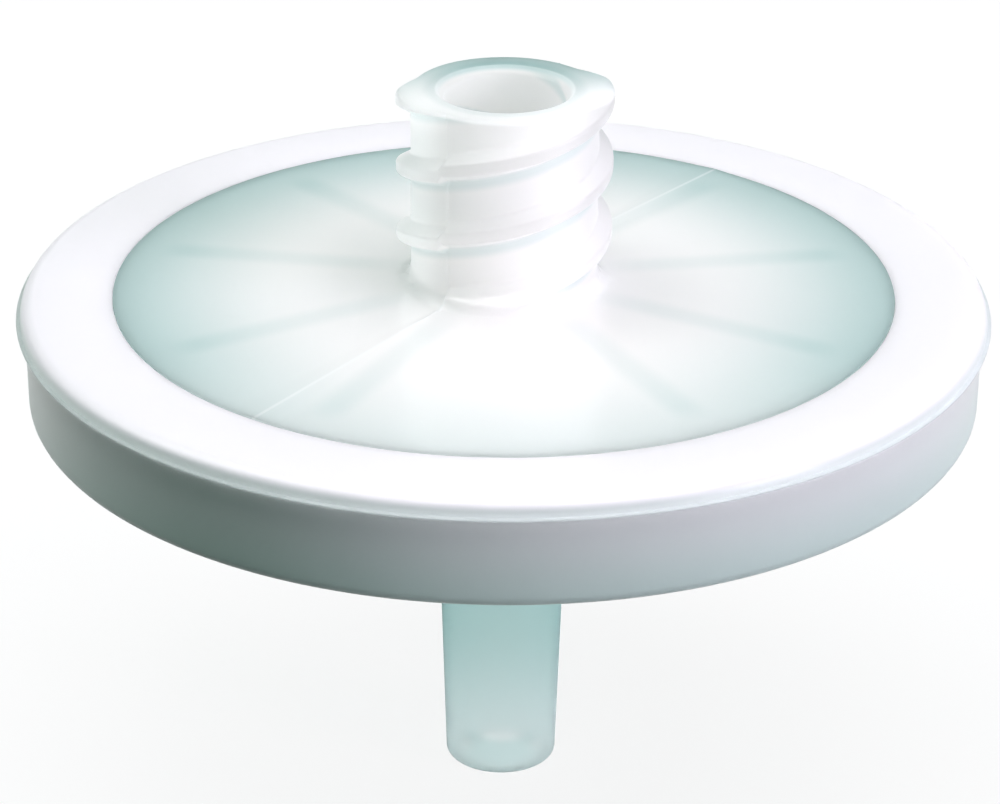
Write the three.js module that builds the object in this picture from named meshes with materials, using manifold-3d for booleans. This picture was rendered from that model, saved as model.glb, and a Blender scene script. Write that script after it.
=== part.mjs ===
// Disc syringe filter: two translucent housing halves clamp a round membrane, and a moulded
// ring holds them together at the rim. The upper half carries the threaded female inlet,
// the lower half the plain tapered outlet. Millimetres, +Z up along the flow axis, with the
// origin at the centre of the outlet's end face.
import * as THREE from 'three';
import { mergeVertices } from 'three/addons/utils/BufferGeometryUtils.js';
import Module from 'manifold-3d';

const wasm = await Module();
wasm.setup();

// ---- driving dimensions -------------------------------------------------------------
const SEGMENTS = 60;             // facets round the flow axis

// retaining ring
const RING_HEIGHT = 3.85;
const RING_OUTER_R = 17.0;       // plain wall below the lip
const RING_WALL = 1.35;          // wall outside the housing flanges
const RING_FLANGE = 0.85;        // thickness of the ring over and under the flanges
const RING_LAND = 3.1;           // from the wall in to the opening that shows the housing
const LIP_OVERHANG = 0.3;        // the top edge stands out past the wall
const LIP_HEIGHT = 0.6;
const LIP_ROUND = 0.45;
const FOOT_ROUND = 0.25;

// housing halves and membrane
const FIT_GAP = 0.05;            // between the ring and the housing halves
const MEMBRANE_THICK = 0.2;
const SEAT_RIM = 0.35;           // rim of the lower half round the membrane's seat
const SEAT_GAP = 0.05;           // round the membrane in its seat
const CLAMP_LAND = 2.1;          // width of membrane held between the halves
const OUTLET_FLANGE = 0.95;      // thickness of the lower half under the membrane
const INLET_CHAMBER = 0.55;      // space over the membrane
const CAP_RISE = 0.33;           // shallow cone from the window's edge to the inlet
const HUB_FILLET = 0.5;

// ribs under the upper half
const RIB_HEIGHT = 0.4;
const RIB_WIDTH = 0.55;
const RIB_INNER_R = 2.9;
const RIB_END_GAP = 0.6;         // from the rib's outer end to the chamber's wall
const RIB_AZIMUTHS = [13, 51, 90, 129, 167, 208, 242, 300, 333];

// membrane support in the lower half: radial bars with channels between them
const CHANNEL_DEPTH = 0.45;
const SUPPORT_COUNT = 12;
const SUPPORT_WIDTH = 0.8;
const SUPPORT_INNER_R = 2.4;

// threaded female inlet
const INLET_REACH = 7.4;         // above the ring
const BARREL_R = 3.3;
const BORE_MOUTH_R = 2.155;
const BORE_DEPTH = 7.9;
const MOUTH_CHAMFER = 0.28;
const LUER_SLOPE = 0.03;         // radius lost for each millimetre of length
const ORIFICE_R = 1.1;
const THREAD_DEPTH = 0.52;
const THREAD_CREST = 0.4;
const THREAD_ROOT = 1.0;
const THREAD_LEAD = 5.0;
const THREAD_STARTS = 2;
const THREAD_DROP = 0.25;        // crest below the mouth at azimuths 0 and 180
const THREAD_STEPS = 44;         // facets in one turn

// tapered male outlet
const OUTLET_REACH = 15.35;      // below the ring
const OUTLET_TIP_R = 2.05;
const OUTLET_BORE_R = 1.1;
const TIP_ROUND = 0.15;

// ---- heights and radii worked out from them -----------------------------------------
const ringFoot = OUTLET_REACH;
const ringTop = ringFoot + RING_HEIGHT;
const mouth = ringTop + INLET_REACH;
const lowerFlangeFoot = ringFoot + RING_FLANGE;
const membraneFoot = lowerFlangeFoot + OUTLET_FLANGE;
const membraneTop = membraneFoot + MEMBRANE_THICK;
const upperFlangeTop = ringTop - RING_FLANGE;
const chamberRoof = membraneTop + INLET_CHAMBER;
const windowR = RING_OUTER_R - RING_LAND;
const plateR = windowR - FIT_GAP;
const grooveR = RING_OUTER_R - RING_WALL;
const flangeR = grooveR - FIT_GAP;
const seatR = flangeR - SEAT_RIM;
const membraneR = seatR - SEAT_GAP;
const chamberR = membraneR - CLAMP_LAND;
const channelFloor = membraneFoot - CHANNEL_DEPTH;

// ---- small helpers ------------------------------------------------------------------
const point = (r, z) => new THREE.Vector2(r, z);

// Points of an arc in the profile plane, angles in degrees.
function arc(centreR, centreZ, radius, from, to, steps = 3) {
  return Array.from({ length: steps + 1 }, (_, i) => {
    const a = THREE.MathUtils.degToRad(from + (to - from) * i / steps);
    return point(centreR + radius * Math.cos(a), centreZ + radius * Math.sin(a));
  });
}

// A closed profile, anticlockwise in (radius, height), turned about the flow axis.
function turned(profile) {
  const geometry = new THREE.LatheGeometry([...profile, profile[0].clone()], SEGMENTS);
  return solidOf(geometry.rotateX(Math.PI / 2));
}

function solidOf(geometry) {
  const bare = geometry.clone();
  bare.deleteAttribute('normal');
  bare.deleteAttribute('uv');
  const merged = mergeVertices(bare, 1e-5);
  return new wasm.Manifold(new wasm.Mesh({
    numProp: 3,
    vertProperties: Float32Array.from(merged.attributes.position.array),
    triVerts: Uint32Array.from(merged.index.array),
  }));
}

function geometryOf(solid) {
  const mesh = solid.getMesh();
  const geometry = new THREE.BufferGeometry();
  geometry.setAttribute('position', new THREE.BufferAttribute(mesh.vertProperties, 3));
  geometry.setIndex(new THREE.BufferAttribute(mesh.triVerts, 1));
  geometry.computeVertexNormals();
  return geometry;
}

// A bar from one radius to another along an azimuth.
function radialBar(azimuth, innerR, outerR, width, foot, top) {
  const bar = new THREE.BoxGeometry(outerR - innerR, width, top - foot);
  bar.translate((innerR + outerR) / 2, 0, (foot + top) / 2);
  return solidOf(bar.rotateZ(THREE.MathUtils.degToRad(azimuth)));
}

// ---- thread -------------------------------------------------------------------------
// A right-hand helix whose frames keep the section in the plane of the flow axis.
class ThreadPath extends THREE.Curve {
  constructor(startAngle, startZ, turns) {
    super();
    Object.assign(this, { startAngle, startZ, turns });
  }

  angleAt(t) {
    return this.startAngle + t * this.turns * 2 * Math.PI;
  }

  getPoint(t, target = new THREE.Vector3()) {
    const angle = this.angleAt(t);
    const z = this.startZ + t * this.turns * THREAD_LEAD;
    return target.set(BARREL_R * Math.cos(angle), BARREL_R * Math.sin(angle), z);
  }

  computeFrenetFrames(steps) {
    const frames = { tangents: [], normals: [], binormals: [] };
    for (let i = 0; i <= steps; i += 1) {
      const angle = this.angleAt(i / steps);
      frames.tangents.push(this.getTangent(i / steps));
      frames.normals.push(new THREE.Vector3(0, 0, 1));
      frames.binormals.push(new THREE.Vector3(Math.cos(angle), Math.sin(angle), 0));
    }
    return frames;
  }
}

// One ridge, from inside the cap's plate to past the mouth, where the mouth's face cuts it.
function threadRidge(start) {
  const overlap = BARREL_R - BORE_MOUTH_R;
  const sunk = overlap / 3;
  const section = new THREE.Shape([
    point(-THREAD_ROOT / 2, -sunk),
    point(THREAD_ROOT / 2, -sunk),
    point(THREAD_ROOT / 2, 0),
    point(THREAD_CREST / 2, THREAD_DEPTH),
    point(-THREAD_CREST / 2, THREAD_DEPTH),
    point(-THREAD_ROOT / 2, 0),
  ]);
  const lowest = ringTop - THREAD_ROOT / 4;
  const highest = mouth + THREAD_ROOT;
  const turns = (highest - lowest) / THREAD_LEAD;
  const crestZ = mouth - THREAD_DROP + THREAD_LEAD * start / THREAD_STARTS;
  const startAngle = (lowest - crestZ) / THREAD_LEAD * 2 * Math.PI;
  const path = new ThreadPath(startAngle, lowest, turns);
  const steps = Math.round(turns * THREAD_STEPS);
  return solidOf(new THREE.ExtrudeGeometry(section, { extrudePath: path, steps }));
}

// ---- sub-parts ----------------------------------------------------------------------
function retainingRing() {
  const lipR = RING_OUTER_R + LIP_OVERHANG;
  return turned([
    point(windowR, ringFoot),
    ...arc(RING_OUTER_R - FOOT_ROUND, ringFoot + FOOT_ROUND, FOOT_ROUND, -90, 0, 2),
    point(RING_OUTER_R, ringTop - LIP_HEIGHT),
    point(lipR, ringTop - LIP_HEIGHT),
    ...arc(lipR - LIP_ROUND, ringTop - LIP_ROUND, LIP_ROUND, 0, 90, 4),
    point(windowR, ringTop),
    point(windowR, upperFlangeTop),
    point(grooveR, upperFlangeTop),
    point(grooveR, lowerFlangeFoot),
    point(windowR, lowerFlangeFoot),
  ]);
}

// The cap's plate, clamped rim and barrel in one profile, with the tapered bore through it.
function inletBody() {
  const plateSlope = CAP_RISE / (plateR - BARREL_R);
  const filletFoot = ringTop + CAP_RISE - plateSlope * HUB_FILLET;
  const boreFloor = mouth - BORE_DEPTH;
  const chamferFoot = mouth - MOUTH_CHAMFER;
  const floorR = BORE_MOUTH_R - LUER_SLOPE * BORE_DEPTH;
  return turned([
    point(ORIFICE_R, chamberRoof),
    point(chamberR, chamberRoof),
    point(chamberR, membraneTop),
    point(flangeR, membraneTop),
    point(flangeR, upperFlangeTop),
    point(plateR, upperFlangeTop),
    point(plateR, ringTop),
    ...arc(BARREL_R + HUB_FILLET, filletFoot + HUB_FILLET, HUB_FILLET, -90, -180),
    point(BARREL_R, mouth),
    point(BORE_MOUTH_R + MOUTH_CHAMFER, mouth),
    point(BORE_MOUTH_R, chamferFoot),
    point(floorR, boreFloor),
    point(ORIFICE_R, boreFloor),
  ]);
}

function inletHousing() {
  const ribOuterR = chamberR - RIB_END_GAP;
  let body = inletBody();
  for (const azimuth of RIB_AZIMUTHS) {
    const foot = chamberRoof - RIB_HEIGHT;
    const top = chamberRoof + RIB_HEIGHT / 2;
    body = body.add(radialBar(azimuth, RIB_INNER_R, ribOuterR, RIB_WIDTH, foot, top));
  }
  for (let start = 0; start < THREAD_STARTS; start += 1) body = body.add(threadRidge(start));
  const waste = new THREE.BoxGeometry(4 * BARREL_R, 4 * BARREL_R, INLET_REACH);
  return body.subtract(solidOf(waste.translate(0, 0, mouth + INLET_REACH / 2)));
}

function outletHousing() {
  const rootZ = ringFoot - CAP_RISE;
  const stemR = OUTLET_TIP_R + LUER_SLOPE * (rootZ - HUB_FILLET);
  const sunk = CHANNEL_DEPTH / 2;
  let body = turned([
    point(OUTLET_BORE_R, 0),
    ...arc(OUTLET_TIP_R - TIP_ROUND, TIP_ROUND, TIP_ROUND, -90, 0, 2),
    ...arc(stemR + HUB_FILLET, rootZ - HUB_FILLET, HUB_FILLET, 180, 90),
    point(plateR, ringFoot),
    point(plateR, lowerFlangeFoot),
    point(flangeR, lowerFlangeFoot),
    point(flangeR, membraneTop),
    point(seatR, membraneTop),
    point(seatR, membraneFoot),
    point(chamberR, membraneFoot),
    point(chamberR, channelFloor),
    point(OUTLET_BORE_R, channelFloor),
  ]);
  for (let i = 0; i < SUPPORT_COUNT; i += 1) {
    const azimuth = i * 360 / SUPPORT_COUNT;
    const foot = channelFloor - sunk;
    const outerR = chamberR + sunk;
    body = body.add(
      radialBar(azimuth, SUPPORT_INNER_R, outerR, SUPPORT_WIDTH, foot, membraneFoot),
    );
  }
  return body;
}

function membraneDisc() {
  const disc = new THREE.CylinderGeometry(membraneR, membraneR, MEMBRANE_THICK, SEGMENTS);
  disc.rotateX(Math.PI / 2).translate(0, 0, membraneFoot + MEMBRANE_THICK / 2);
  return solidOf(disc);
}

// ---- assembly -----------------------------------------------------------------------
const naturalPlastic = { color: 0xe4ecea, roughness: 0.35, metalness: 0 };
const whitePlastic = { color: 0xf8f6f9, roughness: 0.4, metalness: 0 };
const whiteMembrane = { color: 0xfbfbf8, roughness: 0.8, metalness: 0 };

function named(name, solid, finish) {
  const mesh = new THREE.Mesh(geometryOf(solid), new THREE.MeshStandardMaterial(finish));
  mesh.name = name;
  return mesh;
}

const group = new THREE.Group();
group.add(
  named('inlet_housing', inletHousing(), naturalPlastic),
  named('outlet_housing', outletHousing(), naturalPlastic),
  named('membrane', membraneDisc(), whiteMembrane),
  named('retaining_ring', retainingRing(), whitePlastic),
);

export default group;
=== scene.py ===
# %% [markdown]
# # A disc syringe filter
# The real filter is four pieces: a translucent cap with a threaded inlet, a lower half with
# a tapered stem, a membrane clamped between them, and a white ring moulded round the rim.
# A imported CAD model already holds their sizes, so it is loaded first and every piece below
# is worked out from it. Only what the eye needs is made here: round turned surfaces, soft
# edges, the mould's parting line, and plastics that let light in.

# %% Load the CAD frame
import math

import bmesh
import bpy
from mathutils import Matrix, Vector


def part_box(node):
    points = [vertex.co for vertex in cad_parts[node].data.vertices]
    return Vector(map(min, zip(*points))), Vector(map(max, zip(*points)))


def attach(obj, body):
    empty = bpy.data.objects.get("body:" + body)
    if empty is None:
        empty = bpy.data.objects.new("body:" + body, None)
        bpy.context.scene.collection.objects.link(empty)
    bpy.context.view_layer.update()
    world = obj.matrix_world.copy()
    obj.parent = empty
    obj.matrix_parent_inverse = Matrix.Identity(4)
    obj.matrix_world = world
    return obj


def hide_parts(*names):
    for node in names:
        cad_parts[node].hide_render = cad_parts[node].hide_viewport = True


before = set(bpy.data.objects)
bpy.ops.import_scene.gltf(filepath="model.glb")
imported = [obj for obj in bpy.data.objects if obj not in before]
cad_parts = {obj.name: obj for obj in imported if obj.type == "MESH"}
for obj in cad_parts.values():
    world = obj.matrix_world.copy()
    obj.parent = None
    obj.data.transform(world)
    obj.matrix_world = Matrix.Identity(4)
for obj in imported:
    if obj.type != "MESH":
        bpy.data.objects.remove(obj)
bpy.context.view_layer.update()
MM = 0.001

# %% [markdown]
# The main sizes come from the CAD nodes' boxes. What the boxes can't tell, such as a wall
# or a bore, is named here once, in millimetres like the drawing of the part.

# %% Sizes of the filter
ring_low, ring_high = (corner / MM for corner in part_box("retaining_ring"))
inlet_low, inlet_high = (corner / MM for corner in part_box("inlet_housing"))
outlet_low, outlet_high = (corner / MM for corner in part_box("outlet_housing"))
membrane_low, membrane_high = (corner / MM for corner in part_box("membrane"))

LIP_OVERHANG = 0.3
LIP_HEIGHT = 0.6
RING_LAND = 3.1
RING_WALL = 1.35
RING_FLANGE = 0.85
FIT_GAP = 0.05
CLAMP_LAND = 2.1
INLET_CHAMBER = 0.55
CAP_RISE = 0.33
HUB_FILLET = 0.5
ORIFICE_R = 1.1

lip_r = ring_high.x
wall_r = lip_r - LIP_OVERHANG
window_r = wall_r - RING_LAND
groove_r = wall_r - RING_WALL
plate_r = window_r - FIT_GAP
flange_r = inlet_high.x
chamber_r = membrane_high.x - CLAMP_LAND
ring_foot, ring_top = ring_low.z, ring_high.z
lower_flange = ring_foot + RING_FLANGE
upper_flange = ring_top - RING_FLANGE
chamber_roof = inlet_low.z + INLET_CHAMBER
mouth = inlet_high.z
print("lip radius", round(lip_r, 2), "ring top", round(ring_top, 2), "mouth", round(mouth, 2))

# %% [markdown]
# The thread and the ribs have sizes of their own. They come before the materials, because
# the plastic's colour follows both.

# %% Sizes of the thread and ribs
BARREL_R = 3.3
THREAD_DEPTH = 0.52
THREAD_CREST = 0.4
THREAD_ROOT = 1.0
THREAD_LEAD = 5.0
THREAD_STARTS = 2
THREAD_DROP = 0.25
RIB_AZIMUTHS = [13, 51, 90, 129, 167, 208, 242, 300, 333]
RIB_INNER_R = 2.9
RIB_WIDTH = 0.55
RIB_HEIGHT = 0.4
RIB_END_GAP = 0.6

pitch = THREAD_LEAD / THREAD_STARTS
plate_slope = CAP_RISE / (plate_r - BARREL_R)
fillet_foot = ring_top + CAP_RISE - plate_slope * HUB_FILLET
rib_outer_r = chamber_r - RIB_END_GAP
print("pitch", pitch, "fillet foot", round(fillet_foot, 2), "ribs to", round(rib_outer_r, 2))

# %% [markdown]
# The camera looks down on the front of the filter at about 23 degrees, from 120 mm away
# through a long lens, which keeps the disc's ellipse nearly the same front and back.
# The aim is a point close to the flow axis, a little under the ring.

# %% Camera
CAMERA_ELEVATION = math.radians(23.49)
CAMERA_DISTANCE = 119.97
CAMERA_ROLL = math.radians(0.383)
LENS = 120.9
SENSOR = 36.0
CLIP_START = 0.01
AIM_ASIDE = -0.109
AIM_DROP = 4.68

camera_data = bpy.data.cameras.new("camera")
camera_data.lens = LENS
camera_data.sensor_width = SENSOR
camera_data.clip_start = CLIP_START
camera = bpy.data.objects.new("camera", camera_data)
bpy.context.scene.collection.objects.link(camera)
bpy.context.scene.camera = camera

camera_place = Vector((
    0.0,
    -CAMERA_DISTANCE * math.cos(CAMERA_ELEVATION),
    ring_top + CAMERA_DISTANCE * math.sin(CAMERA_ELEVATION),
))
aim = Vector((AIM_ASIDE, 0.0, ring_top - AIM_DROP))
look = (aim - camera_place).to_track_quat("-Z", "Y")
roll = Matrix.Rotation(CAMERA_ROLL, 4, "Z")
camera.matrix_world = Matrix.Translation(camera_place * MM) @ look.to_matrix().to_4x4() @ roll
print("camera at", [round(c, 1) for c in camera_place], "mm")

# %% [markdown]
# Every plastic piece here is round, so each starts as an outline in the plane of the axis.
# An outline is a few corners, and a corner may carry a rounding: the bevel operator then
# replaces that one vertex by an arc. It cuts back both edges by the same length, so the
# length for a true radius depends on how far the edges turn at the corner.

# %% Outline helper
def outline(corners, closed=True):
    """A wire from corners (radius, height, rounding) in mm, the rounding optional."""
    bm = bmesh.new()
    verts = [bm.verts.new((corner[0], 0.0, corner[1])) for corner in corners]
    for a, b in zip(verts, verts[1:]):
        bm.edges.new((a, b))
    if closed:
        bm.edges.new((verts[-1], verts[0]))
    for vert, corner in zip(verts, corners):
        if len(corner) > 2:
            round_corner(bm, vert, corner[2])
    return bm


def round_corner(bm, vert, radius, segments=6):
    """Replace a corner of a wire by an arc of that radius."""
    before, after = (edge.other_vert(vert).co - vert.co for edge in vert.link_edges)
    setback = radius / math.tan(before.angle(after) / 2)
    bmesh.ops.bevel(bm, geom=[vert], offset=setback, offset_type="OFFSET", segments=segments,
                    profile=0.5, affect="VERTICES", material=-1)


# %% [markdown]
# Spinning the outline once round the axis gives the turned piece. The spin starts at the
# mould's parting plane, so that one column of vertices lies on the parting line on each
# side of the piece. A spin can come out inside out, so the normals are recalculated.

# %% Turning helper
COLUMNS = 240
PARTING = math.radians(54)
WELD = 0.001


def turn(bm, columns=COLUMNS, climb=0.0):
    """Spin a wire round the flow axis. climb is how far it rises in the full turn."""
    bmesh.ops.rotate(bm, verts=bm.verts, matrix=Matrix.Rotation(PARTING, 3, "Z"))
    bmesh.ops.spin(bm, geom=bm.verts[:] + bm.edges[:], cent=(0, 0, 0), axis=(0, 0, 1),
                   angle=math.tau, steps=columns, dvec=(0, 0, climb / columns),
                   use_merge=not climb)
    bmesh.ops.remove_doubles(bm, verts=bm.verts, dist=WELD)
    bmesh.ops.recalc_face_normals(bm, faces=bm.faces)
    return bm


def split_long(bm, longest):
    """Cut a wire's long edges, so that no piece of it is longer than a given length."""
    for edge in list(bm.edges):
        cuts = int(edge.calc_length() / longest)
        if cuts:
            bmesh.ops.subdivide_edges(bm, edges=[edge], cuts=cuts)


# %% [markdown]
# A finished bmesh becomes an object at the origin, in metres, with its place in its mesh.
# Smooth shading is right for most of it, and edges that turn by more than 35 degrees are
# marked sharp, so that flat faces stay flat up to their rims.

# %% Finishing helper
SHARP = math.radians(35)


def as_object(bm, name):
    """Use up a bmesh as the mesh of a new object in the scene."""
    mesh = bpy.data.meshes.new(name)
    bm.to_mesh(mesh)
    bm.free()
    made = bpy.data.objects.new(name, mesh)
    bpy.context.scene.collection.objects.link(made)
    return made


def finished(bm, name, material):
    """Scale to metres, shade, and return the object."""
    bmesh.ops.scale(bm, vec=(MM, MM, MM), verts=bm.verts)
    for face in bm.faces:
        face.smooth = True
    for edge in bm.edges:
        edge.smooth = len(edge.link_faces) == 2 and edge.calc_face_angle(0) < SHARP
    piece = as_object(bm, name)
    piece.data.materials.append(material)
    return piece


def report(piece):
    """Print a piece's size and whether it is a closed body."""
    bm = bmesh.new()
    bm.from_mesh(piece.data)
    open_edges = sum(not edge.is_manifold for edge in bm.edges)
    triangles = len(bm.calc_loop_triangles())
    size = [round(side / MM, 2) for side in piece.dimensions]
    print(piece.name, "mm", size, "triangles", triangles, "open edges", open_edges,
          "volume mm3", round(bm.calc_volume(signed=True) / MM ** 3, 1))
    bm.free()


# %% [markdown]
# Materials are graphs of shader nodes. A small class wraps a socket so that a formula can
# be written as Python arithmetic, and each operator adds its Math node. A second class
# holds one material, with a single method for every other node.

# %% Shader arithmetic
class Wire:
    """A number that varies over a surface."""

    def __init__(self, finish, socket):
        self.finish = finish
        self.socket = socket

    def math(self, operation, *values):
        return self.finish.node("ShaderNodeMath", {"operation": operation},
                                dict(enumerate((self, *values))))

    def __add__(self, other):
        return self.math("ADD", other)

    def __sub__(self, other):
        return self.math("SUBTRACT", other)

    def __rsub__(self, other):
        return self.finish.node("ShaderNodeMath", {"operation": "SUBTRACT"},
                                {0: other, 1: self})

    def __mul__(self, other):
        return self.math("MULTIPLY", other)

    def __truediv__(self, other):
        return self.math("DIVIDE", other)

    __radd__ = __add__
    __rmul__ = __mul__

    def ramp(self, start, end):
        """0 before start, 1 after end, with a smooth step between them."""
        return self.finish.node(
            "ShaderNodeMapRange", {"interpolation_type": "SMOOTHSTEP"},
            {"Value": self, "From Min": start, "From Max": end})

    def band(self, start, full, fading, end):
        """0 outside start and end, 1 between full and fading, smooth in between."""
        return self.ramp(start, full) * (1 - self.ramp(fading, end))


class Finish:
    """One material, with its Principled shader and its nodes."""

    def __init__(self, name, **constants):
        self.material = bpy.data.materials.new(name)
        self.material.use_nodes = True
        self.tree = self.material.node_tree
        self.shader = self.tree.nodes["Principled BSDF"]
        for socket, value in constants.items():
            self.set(socket.replace("_", " "), value)

    def set(self, socket, value):
        """Give a Principled socket a constant or a wire."""
        self.plug(self.shader.inputs[socket], value)

    def plug(self, socket, value):
        if isinstance(value, Wire):
            self.tree.links.new(value.socket, socket)
        else:
            socket.default_value = value

    def node(self, kind, settings, sockets, output=0):
        """Add a node: its settings first, then its sockets by name or number."""
        node = self.tree.nodes.new(kind)
        for setting, value in settings.items():
            setattr(node, setting, value)
        for socket, value in sockets.items():
            self.plug(node.inputs[socket], value)
        return Wire(self, node.outputs[output])

    def show(self, shader):
        """Send a shader to the surface, instead of the Principled one."""
        self.plug(self.tree.nodes["Material Output"].inputs["Surface"], shader)

    def split_shader(self, factor, second):
        """Show the first shader where the factor is 0 and a second one where it is 1."""
        self.show(self.node("ShaderNodeMixShader", {}, {
            0: factor, 1: Wire(self, self.shader.outputs[0]), 2: second}))

    def place(self):
        """Object coordinates, which are the part's own frame in metres."""
        return self.node("ShaderNodeTexCoord", {}, {}, "Object")

    def split(self, vector):
        return [self.node("ShaderNodeSeparateXYZ", {}, {"Vector": vector}, i) for i in range(3)]

    def blend(self, factor, first, second):
        """Mix two colours. Colour sockets of the Mix node are numbers 6 and 7."""
        return self.node("ShaderNodeMix", {"data_type": "RGBA"},
                         {0: factor, 6: first, 7: second}, 2)

    def noise(self, vector, scale, detail=2.0):
        return self.node("ShaderNodeTexNoise", {},
                         {"Vector": vector, "Scale": scale, "Detail": detail})

    def bump(self, height, depth):
        """Relief of that depth in metres, into the shader's normal."""
        self.set("Normal", self.node("ShaderNodeBump", {},
                                     {"Height": height, "Distance": depth, "Strength": 1.0}))


# %% [markdown]
# ## Materials
# Colours are written as a display shows them, and turned into the linear ones that shaders
# work with. Every material follows the part's own coordinates, so its pattern stays put.

# %% Colour and place helpers
def srgb(red, green, blue):
    """An 8-bit display colour as the linear colour that shaders work with."""
    def linear(value):
        value /= 255
        return value / 12.92 if value <= 0.04045 else ((value + 0.055) / 1.055) ** 2.4
    return (linear(red), linear(green), linear(blue), 1.0)


WHITE = srgb(255, 255, 255)
SCATTER = {"IOR": 1.49, "Subsurface Weight": 1.0, "Subsurface Radius": (1.0, 1.0, 1.0)}


def scatter(finish, method, **changes):
    """Let light scatter inside, by one of the renderer's subsurface methods."""
    finish.shader.subsurface_method = method
    for socket, value in {**SCATTER, **changes}.items():
        finish.set(socket, value)


def surface_place(finish):
    """x, y, z and the distance from the flow axis at a point of the surface, in mm."""
    x, y, z = (side / MM for side in finish.split(finish.place()))
    return x, y, z, (x * x + y * y).math("SQRT")


# %% [markdown]
# All the plastics are polypropylene: light enters, scatters and leaves again some way off.
# Subsurface scattering gives that softness. The cap has no pigment. Its colour holds painted
# shade: the rim under the ring is painted cool and grey, as in the ring's shade, and soft
# darker lines over the ribs are their painted shadows. The front of the rim is painted
# paler, a painted highlight. The parting line has a thin raised bead, and a thin pale
# painted highlight along it.

# %% Natural polypropylene of the cap
NATURAL = srgb(249, 247, 246)
# A painted highlight at the front, and painted shade at the rim and over the ribs.
NATURAL_FRONT_HIGHLIGHT = srgb(252, 248, 247)
CAP_PAINTED_SHADE = srgb(176, 205, 203)
CAP_SCATTER = 0.003
SHADED_RIM = (7.0, plate_r + 0.6)
SHADED_RIM_SHARE = 0.85
FRONT = (0.4, 1.0)
FRONT_HIGHLIGHT_RELIEF = 0.57
RIB_REACH = (RIB_INNER_R, 6.0, 11.6, rib_outer_r + 0.6)
RIB_SIDE = (0.1, 0.9)
RIB_SHADE = 0.16
PARTING_HIGHLIGHT_SIDE = (0.02, 0.1)
PARTING_HIGHLIGHT_SHARE = 0.35
TINY = 0.01


def rib_shade(x, y):
    """Painted shade, in soft lines along the ribs under the cap."""
    shade = 0.0
    for azimuth in RIB_AZIMUTHS:
        a = math.radians(azimuth)
        along = x * math.cos(a) + y * math.sin(a)
        across = (x * -math.sin(a) + y * math.cos(a)).math("ABSOLUTE")
        shade = (1 - across.ramp(*RIB_SIDE)) * along.band(*RIB_REACH) + shade
    return shade


def cap_color(finish, x, y, radius):
    # Painted highlight at the front, painted shade at the rim and along the ribs.
    front = (y * -1 / (radius + TINY)).ramp(*FRONT)
    rim = radius.ramp(*SHADED_RIM) * (1 - front * FRONT_HIGHLIGHT_RELIEF)
    shade = (rim * SHADED_RIM_SHARE + rib_shade(x, y) * RIB_SHADE).math("MINIMUM", 1.0)
    color = finish.blend(shade, finish.blend(front, NATURAL, NATURAL_FRONT_HIGHLIGHT), CAP_PAINTED_SHADE)
    # A thin painted highlight along the parting line, over the real bead.
    off = (y * math.cos(PARTING) - x * math.sin(PARTING)).math("ABSOLUTE")
    return finish.blend((1 - off.ramp(*PARTING_HIGHLIGHT_SIDE)) * PARTING_HIGHLIGHT_SHARE, color, WHITE)


# %% [markdown]
# The barrel is thicker, so light goes further in it. A second shader gives it that. Its
# colour holds painted shade: a cool band under each ridge, the back of the mouth's face, a
# ring round the bore and the bore's wall. The left flank and the front of the mouth's face
# are painted paler, painted light, and the right flank darker, painted shade that evens
# out the side lamp.

# %% Natural polypropylene of the barrel
BARREL_COLOR = srgb(229, 226, 224)
# Painted shade: the right flank, and the cool bands, bore and back of the mouth's face.
BARREL_FLANK_SHADE = srgb(212, 210, 209)
BARREL_PAINTED_SHADE = srgb(150, 183, 181)
BARREL_SCATTER = 0.005
UNDER_RIDGE = (0.62, 0.76, 0.8, 0.88)
UNDER_RIDGE_SHADE_SHARE = 0.32
MOUTH_FACE = (-0.2, -0.05)
FACE_BACK = (-1.5, 3.0)
BACK_SHADE_SHARE = 0.75
COLLAR = (2.4, 2.5, 2.6, 3.0)
COLLAR_SHADE_SHARE = 0.15
BORE_WALL = (2.2, 2.35)
BORE_SHADE_SHARE = 0.05
LEFT_FLANK_LIGHT = (1.8, 3.2)
RIGHT_FLANK_SHADE = (1.6, 3.2)
BARREL_FOOT = (0.3, 1.0)


def barrel_color(finish, x, y, z, radius):
    starts = y.math("ARCTAN2", x) / (math.tau / THREAD_STARTS)
    above_ridge = ((z - mouth + THREAD_DROP) / pitch - starts).math("FRACT")
    face = (z - mouth).ramp(*MOUTH_FACE)
    back = y.ramp(*FACE_BACK)
    # Painted shade under the ridges, in the bore, at the back of the mouth's face and round the
    # bore.
    wall_shade = (above_ridge.band(*UNDER_RIDGE) * UNDER_RIDGE_SHADE_SHARE
                  + (1 - radius.ramp(*BORE_WALL)) * BORE_SHADE_SHARE)
    face_shade = back * BACK_SHADE_SHARE + radius.band(*COLLAR) * COLLAR_SHADE_SHARE
    # Painted light on the left flank and the front of the mouth's face, painted shade on the
    # right flank.
    pale = (face * (1 - back)).math("MAXIMUM", (x * -1).ramp(*LEFT_FLANK_LIGHT))
    color = finish.blend(pale, BARREL_COLOR, NATURAL)
    color = finish.blend(x.ramp(*RIGHT_FLANK_SHADE) * (1 - face), color, BARREL_FLANK_SHADE)
    return finish.blend(face * face_shade + (1 - face) * wall_shade, color, BARREL_PAINTED_SHADE)


def cap_plastic():
    finish = Finish("natural_plastic_cap", Roughness=0.16, Subsurface_Scale=CAP_SCATTER)
    scatter(finish, "BURLEY")
    x, y, z, radius = surface_place(finish)
    finish.set("Base Color", cap_color(finish, x, y, radius))
    barrel = finish.node("ShaderNodeBsdfPrincipled", {"subsurface_method": "BURLEY"}, {
        **SCATTER, "Base Color": barrel_color(finish, x, y, z, radius),
        "Roughness": 0.3, "Subsurface Scale": BARREL_SCATTER})
    finish.split_shader((z - ring_top).ramp(*BARREL_FOOT), barrel)
    return finish.material


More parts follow.
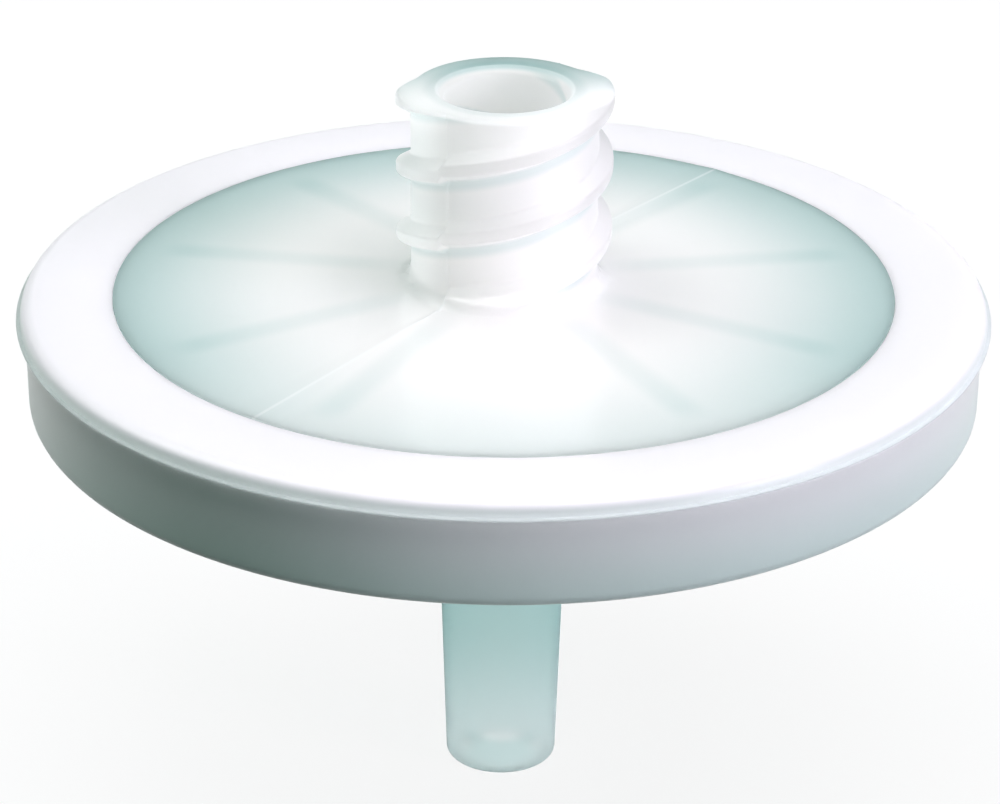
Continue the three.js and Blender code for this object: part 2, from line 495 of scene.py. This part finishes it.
# %% [markdown]
# The stem is clearer, so it also transmits light, through a rough surface that hides its
# bore. It is painted darker towards the disc, a painted shade under it. The bore's own wall
# is a clear shader. Its front is painted darker close to the tip, a painted shade, so that
# the open end doesn't show through as a bright spot.

# %% Natural polypropylene of the stem
STEM_LIGHT = srgb(222, 236, 236)
# A painted shade, darker towards the disc.
STEM_SHADE = srgb(180, 212, 210)
STEM_SCATTER = 0.003
STEM_RISE = (-0.5, 6.5)
# A painted shade at the bore's front near the tip.
BORE_END_SHADE = srgb(196, 222, 221)
BORE_END = (0.75, 1.15)
BORE_FRONT = (-0.4, 0.4)
CLEAR_BORE = (1.2, 1.4)


def stem_plastic():
    finish = Finish("natural_plastic_stem", Roughness=0.7, Transmission_Weight=0.9,
                    Subsurface_Scale=STEM_SCATTER)
    scatter(finish, "RANDOM_WALK", IOR=1.12)
    x, y, z, radius = surface_place(finish)
    # Painted shade: darker towards the disc above.
    finish.set("Base Color", finish.blend(z.ramp(*STEM_RISE), STEM_LIGHT, STEM_SHADE))
    # Painted shade at the bore's front near the tip.
    end = (1 - z.ramp(*BORE_END)) * (1 - y.ramp(*BORE_FRONT))
    bore = finish.node("ShaderNodeBsdfPrincipled", {}, {
        "Base Color": finish.blend(end, WHITE, BORE_END_SHADE), "Roughness": 0.05,
        "IOR": 1.05, "Transmission Weight": 1.0})
    finish.split_shader(1 - radius.ramp(*CLEAR_BORE), bore)
    return finish.material


# %% [markdown]
# The ring has a white pigment and scatters light only a little way. The side of its lip
# and its wall are painted cooler and darker than its top, a painted shade, the wall more so
# towards its foot. A faint cloud and a very fine grain keep the top from looking drawn.

# %% White polypropylene of the ring
RING_TOP_COLOR = srgb(254, 249, 253)
RING_CLOUD_COLOR = srgb(252, 247, 251)
# Painted shade on the lip's side and at the wall's foot.
LIP_SIDE_SHADE = srgb(216, 221, 220)
WALL_COLOR = srgb(252, 255, 252)
FOOT_SHADE = srgb(222, 243, 235)
RING_SCATTER = 0.001
LIP_SIDE = (-0.35, -0.08)
WALL_EDGE = (-0.3, 0.1)
CLOUD_SCALE = 350.0
GRAIN_SCALE = 2500.0
GRAIN_DEPTH = 0.000004


def ring_plastic():
    finish = Finish("ring_plastic", Roughness=0.3, Subsurface_Scale=RING_SCATTER)
    scatter(finish, "BURLEY")
    place = finish.place()
    z = finish.split(place)[2] / MM
    land = finish.blend(finish.noise(place, CLOUD_SCALE), RING_TOP_COLOR, RING_CLOUD_COLOR)
    # Painted shade on the lip's side, and on the wall towards its foot.
    lip_side = 1 - (z - ring_top).ramp(*LIP_SIDE)
    below_lip = 1 - (z - ring_top + LIP_HEIGHT).ramp(*WALL_EDGE)
    wall = finish.blend(z.ramp(ring_foot, ring_top - LIP_HEIGHT), FOOT_SHADE, WALL_COLOR)
    lip = finish.blend(lip_side, land, LIP_SIDE_SHADE)
    finish.set("Base Color", finish.blend(below_lip, lip, wall))
    finish.bump(finish.noise(place, GRAIN_SCALE), GRAIN_DEPTH)
    return finish.material


# %% [markdown]
# The membrane is a matt sheet full of fine pores, and only a very fine grain shows.

# %% Membrane sheet
MEMBRANE_LIGHT = srgb(252, 252, 249)
MEMBRANE_DARK = srgb(240, 241, 236)
PORE_SCALE = 6000.0
PORE_DEPTH = 0.00001


def membrane_sheet():
    finish = Finish("membrane_finish", Roughness=0.85)
    grain = finish.noise(finish.place(), PORE_SCALE, detail=4.0)
    finish.set("Base Color", finish.blend(grain, MEMBRANE_LIGHT, MEMBRANE_DARK))
    finish.bump(grain, PORE_DEPTH)
    return finish.material


# %% [markdown]
# ## Retaining ring
# The ring is one white moulding, C-shaped in section: it grips the flanges of both housing
# halves in its groove. Its top is a flat land, and a rounded lip stands out a little past
# the plain wall. Its side leans in and rolls over softly onto the land, and ends below on a
# narrow ledge, where the mould's two halves met. The lip's side bends once on its way up.
# One closed outline, spun once, makes all of it.

# %% Ring
FOOT_ROUND = 0.4
EDGE_ROUND = 0.05
LEDGE_HEIGHT = 0.1
LEDGE_WIDTH = 0.13
LEDGE_SLOPE = 0.025
LEDGE_ROUND = 0.03
SIDE_ANGLE = math.radians(85)
SHOULDER_ANGLE = math.radians(56)
SIDE_HEIGHT = 0.2
SIDE_ROUND = 0.5
SHOULDER_ROUND = 0.5


def ring_piece():
    lip_foot = ring_top - LIP_HEIGHT
    ledge_top = lip_foot + LEDGE_HEIGHT
    side_r = lip_r - LEDGE_WIDTH
    bend = ledge_top + SIDE_HEIGHT
    bend_r = side_r - SIDE_HEIGHT / math.tan(SIDE_ANGLE)
    shoulder_r = bend_r - (ring_top - bend) / math.tan(SHOULDER_ANGLE)
    bm = outline([
        (window_r, ring_foot, EDGE_ROUND),
        (wall_r, ring_foot, FOOT_ROUND),
        (wall_r, lip_foot, EDGE_ROUND),
        (lip_r, lip_foot, LEDGE_ROUND),
        (lip_r, ledge_top - LEDGE_SLOPE, LEDGE_ROUND),
        (side_r, ledge_top),
        (bend_r, bend, SIDE_ROUND),
        (shoulder_r, ring_top, SHOULDER_ROUND),
        (window_r, ring_top, EDGE_ROUND),
        (window_r, upper_flange),
        (groove_r, upper_flange),
        (groove_r, lower_flange),
        (window_r, lower_flange),
    ])
    return finished(turn(bm), "ring_moulding", ring_plastic())


ring = ring_piece()
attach(ring, "root")
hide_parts("retaining_ring")
report(ring)

# %% [markdown]
# ## Inlet moulding
# The cap, its clamped rim and the threaded barrel are one moulding. The thread is the only
# part of it that isn't round. A wire with the thread's ridges is spun while it climbs by
# one lead in the turn, and its seam closes because the ridges repeat within that lead.
# The rows of faces then run along the ridges, which keeps their edges clean.
#
# The wire has the same four corners for each ridge. It reaches a lead below the barrel,
# because the climbing spin leaves slanted ends, which are then cut off square.

# %% Wire and square cuts
CREST_ROUND = 0.14
ROOT_ROUND = 0.12
WIRE_STEP = 0.2


def thread_wire():
    crest = mouth - THREAD_DROP + THREAD_LEAD * PARTING / math.tau
    while crest > fillet_foot - THREAD_LEAD:
        crest -= pitch
    corners = [(BARREL_R, crest - pitch)]
    while crest < mouth + pitch:
        corners += [
            (BARREL_R, crest - THREAD_ROOT / 2, ROOT_ROUND),
            (BARREL_R + THREAD_DEPTH, crest - THREAD_CREST / 2, CREST_ROUND),
            (BARREL_R + THREAD_DEPTH, crest + THREAD_CREST / 2, CREST_ROUND),
            (BARREL_R, crest + THREAD_ROOT / 2, ROOT_ROUND),
        ]
        crest += pitch
    corners.append((BARREL_R, crest - pitch / 2))
    bm = outline(corners, closed=False)
    split_long(bm, WIRE_STEP)
    return bm


def cut_square(bm, height, keep_below):
    """Cut at a height, drop what lies past it, and return the edges of the cut."""
    made = bmesh.ops.bisect_plane(
        bm, geom=bm.verts[:] + bm.edges[:] + bm.faces[:], plane_co=(0, 0, height),
        plane_no=(0, 0, 1), clear_outer=keep_below, clear_inner=not keep_below)
    return [cut for cut in made["geom_cut"] if isinstance(cut, bmesh.types.BMEdge)]


# %% [markdown]
# Two halves of a mould close on this part. They meet in a plane through the axis, and leave
# a thin raised line there. The halves are never quite level, so the ridges step down a
# little where they cross onto the left half. Both are small moves of the spun vertices.

# %% Parting line
BEAD_HEIGHT = 0.03
BEAD_HALF_WIDTH = 0.07
MISMATCH = 0.2


def off_parting(vert):
    """Signed distance of a vertex from the parting plane, positive on the left half."""
    return vert.co.y * math.cos(PARTING) - vert.co.x * math.sin(PARTING)


def column_width(vert):
    return vert.co.xy.length * math.tau / COLUMNS


def on_parting(vert):
    return abs(off_parting(vert)) < column_width(vert) / 2


def narrow_parting(bm):
    """Bring the columns beside the parting line close to it, as the sides of the bead."""
    across = Vector((-math.sin(PARTING), math.cos(PARTING), 0.0))
    for vert in bm.verts:
        off = off_parting(vert)
        beside = column_width(vert) / 2 < abs(off) < column_width(vert) * 1.5
        if beside and abs(off) > BEAD_HALF_WIDTH:
            vert.co -= across * (off - math.copysign(BEAD_HALF_WIDTH, off))


# %% [markdown]
# The barrel meets the cap in a fillet, and the ridges die away in it. Each vertex near the
# foot is read as a place along the wall and a height above it. The wall's straight foot is
# then bent into a quarter circle, and the height is laid off square to it.

# %% Threaded barrel
RUN_OUT = 0.9
MOUTH_ROUND = 0.1


def bend_into_fillet(vert):
    up = vert.co.z - fillet_foot
    height = vert.co.xy.length - BARREL_R
    height *= smooth_step(up / RUN_OUT)
    if on_parting(vert):
        height += BEAD_HEIGHT
    turn_angle = min(up / HUB_FILLET, 1.0) * math.pi / 2
    outward, upward = math.sin(turn_angle), math.cos(turn_angle)
    radius = BARREL_R + HUB_FILLET - (HUB_FILLET - height) * outward
    if up < HUB_FILLET:
        vert.co.z = fillet_foot + HUB_FILLET - (HUB_FILLET - height) * upward
    vert.co.xy = vert.co.xy.normalized() * radius


def smooth_step(t):
    t = min(max(t, 0.0), 1.0)
    return t * t * (3 - 2 * t)


def round_over(bm, rim, radius, steps=4):
    """Roll an edge loop inwards and up through a quarter circle, and return its new rim."""
    for step in range(steps):
        start, end = (math.pi / 2 * i / steps for i in (step, step + 1))
        made = bmesh.ops.extrude_edge_only(bm, edges=rim)["geom"]
        inward = radius * (math.cos(start) - math.cos(end))
        for vert in (v for v in made if isinstance(v, bmesh.types.BMVert)):
            vert.co.xy -= vert.co.xy.normalized() * inward
            vert.co.z += radius * (math.sin(end) - math.sin(start))
        rim = [edge for edge in made if isinstance(edge, bmesh.types.BMEdge) and edge.is_boundary]
    return rim


def threaded_barrel():
    bm = turn(thread_wire(), climb=THREAD_LEAD)
    for vert in bm.verts:
        if not on_parting(vert):
            vert.co.z -= MISMATCH / 2 * math.copysign(1, off_parting(vert))
    cut_square(bm, fillet_foot, keep_below=False)
    rim = cut_square(bm, mouth - MOUTH_ROUND, keep_below=True)
    for vert in bm.verts:
        bend_into_fillet(vert)
    round_over(bm, rim, MOUTH_ROUND)
    return bm


# %% [markdown]
# Everything else of the moulding is round: the cap's shallow cone, the rim under the ring,
# the chamber over the membrane, and the tapered bore. That is one open outline. It starts
# just outside the barrel's fillet and ends on the mouth's face, and two bridges close it
# to the barrel. The cap's upper edge all but fills the ring's opening, so that no groove
# shows round it.

# %% Cap and bore
BORE_MOUTH_R = 2.155
BORE_DEPTH = 7.9
LUER_SLOPE = 0.03
MOUTH_CHAMFER = 0.28
CHAMFER_ROUND = 0.15
MOUTH_EDGE_ROUND = 0.1
BRIDGE = 0.12
CAP_EDGE_GAP = 0.01
CAP_EDGE_DEPTH = 0.3
CAP_EDGE_ROUND = 0.025
CAP_STEP = 0.5


def cap_and_bore():
    start_r = BARREL_R + HUB_FILLET + BRIDGE
    bore_floor = mouth - BORE_DEPTH
    mouth_r = BORE_MOUTH_R + MOUTH_CHAMFER
    edge_r = window_r - CAP_EDGE_GAP
    bm = outline([
        (start_r, fillet_foot - plate_slope * BRIDGE),
        (edge_r, ring_top, CAP_EDGE_ROUND),
        (edge_r, ring_top - CAP_EDGE_DEPTH),
        (plate_r, ring_top - CAP_EDGE_DEPTH),
        (plate_r, upper_flange),
        (flange_r, upper_flange),
        (flange_r, inlet_low.z),
        (chamber_r, inlet_low.z),
        (chamber_r, chamber_roof),
        (ORIFICE_R, chamber_roof),
        (ORIFICE_R, bore_floor),
        (BORE_MOUTH_R - LUER_SLOPE * BORE_DEPTH, bore_floor),
        (BORE_MOUTH_R, mouth - MOUTH_CHAMFER, CHAMFER_ROUND),
        (mouth_r, mouth, MOUTH_EDGE_ROUND),
        (mouth_r + BRIDGE, mouth),
    ], closed=False)
    split_long(bm, CAP_STEP)
    turn(bm)
    narrow_parting(bm)
    for vert in bm.verts:
        on_cap = vert.co.z > ring_top and vert.co.xy.length > start_r
        if on_cap and on_parting(vert):
            vert.co.z += BEAD_HEIGHT
    return bm


# %% [markdown]
# Ribs under the cap stiffen it and keep the membrane off it, and bars in the lower half
# carry the membrane. Both are plain bars that run outwards. They are joined to their
# moulding by a boolean union, because they cross its rows of faces at odd places.

# %% Bars and union
def radial_bars(azimuths, inner_r, outer_r, width, foot, top):
    bm = bmesh.new()
    size = Vector((outer_r - inner_r, width, top - foot, 1.0))
    middle = Vector(((inner_r + outer_r) / 2, 0.0, (foot + top) / 2))
    for azimuth in azimuths:
        place = Matrix.Rotation(math.radians(azimuth), 4, "Z") @ Matrix.Translation(middle)
        bmesh.ops.create_cube(bm, size=1.0, matrix=place @ Matrix.Diagonal(size))
    return bm


def united(body_bm, bars_bm):
    """The union of two closed bodies, as a new bmesh."""
    body, bars = as_object(body_bm, "body"), as_object(bars_bm, "bars")
    union = body.modifiers.new("union", "BOOLEAN")
    union.operation = "UNION"
    union.solver = "EXACT"
    union.object = bars
    shown = body.evaluated_get(bpy.context.evaluated_depsgraph_get())
    bm = bmesh.new()
    bm.from_mesh(shown.to_mesh())
    for made in (body, bars):
        bpy.data.objects.remove(made)
    return bm


# %% Inlet
def inlet_piece():
    bm = cap_and_bore()
    barrel = bpy.data.meshes.new("barrel")
    barrel_bm = threaded_barrel()
    barrel_bm.to_mesh(barrel)
    barrel_bm.free()
    bm.from_mesh(barrel)
    bpy.data.meshes.remove(barrel)
    rims = [edge for edge in bm.edges if edge.is_boundary]
    upper = [edge for edge in rims if edge.verts[0].co.z > mouth - MOUTH_ROUND]
    lower = [edge for edge in rims if edge not in upper]
    print("rims", len(rims), "upper", len(upper), "lower", len(lower))
    bmesh.ops.bridge_loops(bm, edges=upper)
    bmesh.ops.bridge_loops(bm, edges=lower)
    bmesh.ops.recalc_face_normals(bm, faces=bm.faces)
    ribs = radial_bars(RIB_AZIMUTHS, RIB_INNER_R, rib_outer_r, RIB_WIDTH,
                       chamber_roof - RIB_HEIGHT, chamber_roof + RIB_HEIGHT / 2)
    return finished(united(bm, ribs), "inlet_moulding", cap_plastic())


inlet = inlet_piece()
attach(inlet, "root")
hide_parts("inlet_housing")
report(inlet)

# %% [markdown]
# ## Outlet moulding
# The lower half mirrors the cap: a plate clamped in the ring, and a long tapered stem with
# a plain end, which a needle's hub or a tube slides over. It is one closed outline, with
# the bars that carry the membrane joined to its channel.

# %% Outlet
OUTLET_TIP_R = 2.05
OUTLET_BORE_R = 1.1
TIP_ROUND = 0.15
TIP_BORE_ROUND = 0.08
SEAT_GAP = 0.05
CHANNEL_DEPTH = 0.45
SUPPORT_COUNT = 12
SUPPORT_WIDTH = 0.8
SUPPORT_INNER_R = 2.4
PLATE_STEP = 0.7


def outlet_piece():
    root = ring_foot - CAP_RISE
    stem_r = OUTLET_TIP_R + LUER_SLOPE * root
    seat, channel = membrane_low.z, membrane_low.z - CHANNEL_DEPTH
    seat_r = membrane_high.x + SEAT_GAP
    sunk = CHANNEL_DEPTH / 2
    bm = outline([
        (OUTLET_BORE_R, outlet_low.z, TIP_BORE_ROUND),
        (OUTLET_TIP_R, outlet_low.z, TIP_ROUND),
        (stem_r, root, HUB_FILLET),
        (plate_r, ring_foot, EDGE_ROUND),
        (plate_r, lower_flange),
        (flange_r, lower_flange),
        (flange_r, outlet_high.z),
        (seat_r, outlet_high.z),
        (seat_r, seat),
        (chamber_r, seat),
        (chamber_r, channel),
        (OUTLET_BORE_R, channel),
    ])
    split_long(bm, PLATE_STEP)
    bars = radial_bars([i * 360 / SUPPORT_COUNT for i in range(SUPPORT_COUNT)],
                       SUPPORT_INNER_R, chamber_r + sunk, SUPPORT_WIDTH, channel - sunk, seat)
    return finished(united(turn(bm), bars), "outlet_moulding", stem_plastic())


outlet = outlet_piece()
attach(outlet, "root")
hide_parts("outlet_housing")
report(outlet)

# %% [markdown]
# ## Membrane
# The membrane is hidden between the halves. Its CAD solid has the right shape, a thin flat
# disc, so it stays and only gets its finish.

# %% Membrane
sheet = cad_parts["membrane"]
sheet.data.materials.clear()
sheet.data.materials.append(membrane_sheet())

# %% [markdown]
# ## Floor and light
# The filter stands on a pale floor under soft studio light. What the camera sees of the
# floor is nearly all plain white, given off by the floor itself, and the rest is lit, which
# keeps the filter's soft shadow. What the filter sees of the floor is darker, as a wide
# table would be, so that the ring's wall is shaded as it is under a lamp overhead.

# %% Floor
FLOOR_HALF_WIDTH = 1.5
FLOOR_LIT_SHARE = 0.12
FLOOR_DROP = 0.00002
FLOOR_IN_LIGHT = (0.02, 0.03, 0.025, 1.0)


def seen_rays(shading, *kinds):
    """1 for rays straight from the camera and for the other kinds named, else 0."""
    seen = shading.node("ShaderNodeLightPath", {}, {}, "Is Camera Ray")
    for kind in kinds:
        seen = seen + shading.node("ShaderNodeLightPath", {}, {}, f"Is {kind} Ray")
    return seen.math("MINIMUM", 1.0)


def floor_finish():
    finish = Finish("floor", Roughness=1.0, Specular_IOR_Level=0.0)
    seen = seen_rays(finish, "Glossy", "Transmission")
    finish.set("Base Color", finish.blend(seen, FLOOR_IN_LIGHT, WHITE))
    white = finish.node("ShaderNodeEmission", {}, {"Color": WHITE})
    finish.split_shader(seen * (1 - FLOOR_LIT_SHARE), white)
    return finish.material


def floor_piece():
    bm = bmesh.new()
    bmesh.ops.create_grid(bm, x_segments=1, y_segments=1, size=FLOOR_HALF_WIDTH)
    bmesh.ops.translate(bm, verts=bm.verts, vec=(0, 0, -FLOOR_DROP))
    floor = as_object(bm, "floor")
    floor.data.materials.append(floor_finish())
    return floor


floor = floor_piece()
print("floor", round(floor.dimensions.x, 2), "m wide")

# %% [markdown]
# Three soft lamps light it: a wide one overhead, a low one from the right, which turns the
# ring's wall pale there, and a weak one from behind on the left. The world adds a little
# cool light, and is plain white where it is looked at.

# %% Lamps
def lamp(name, place, side, power, color):
    """A soft square lamp that faces the middle of the filter, places in metres."""
    data = bpy.data.lights.new(name, "AREA")
    data.shape = "SQUARE"
    data.size = side
    data.energy = power
    data.color = color
    made = bpy.data.objects.new(name, data)
    bpy.context.scene.collection.objects.link(made)
    place = Vector(place)
    target = Vector((0.0, 0.0, ring_top * MM))
    turned = (target - place).to_track_quat("-Z", "Y").to_matrix().to_4x4()
    made.matrix_world = Matrix.Translation(place) @ turned
    print("lamp", name, power, "W,", round((target - place).length, 2), "m away")


lamp("overhead", (0.07, 0.0, 0.52), 0.5, 2.3, (1.0, 0.97, 1.0))
lamp("right", (0.44, -0.25, 0.1), 0.25, 1.95, (0.92, 0.84, 1.0))
lamp("left", (-0.27, 0.1, 0.42), 0.3, 0.75, (0.97, 1.0, 1.0))

# %% World
WORLD_LIGHT = (0.6, 1.0, 0.9, 1.0)
WORLD_STRENGTH = 0.16


class Surround(Finish):
    """The world's shading, built with the same arithmetic."""

    def __init__(self, name):
        self.world = bpy.data.worlds.new(name)
        self.world.use_nodes = True
        self.tree = self.world.node_tree
        self.shader = self.tree.nodes["Background"]

    def show(self, shader):
        self.plug(self.tree.nodes["World Output"].inputs["Surface"], shader)


def studio_world():
    """Cool dim light from all round, and plain white where it is looked at."""
    surround = Surround("studio")
    surround.set("Color", WORLD_LIGHT)
    surround.set("Strength", WORLD_STRENGTH)
    white = surround.node("ShaderNodeBackground", {}, {"Color": WHITE})
    surround.split_shader(seen_rays(surround, "Transmission"), white)
    return surround.world


bpy.context.scene.world = studio_world()
bpy.context.scene.view_settings.view_transform = "Standard"
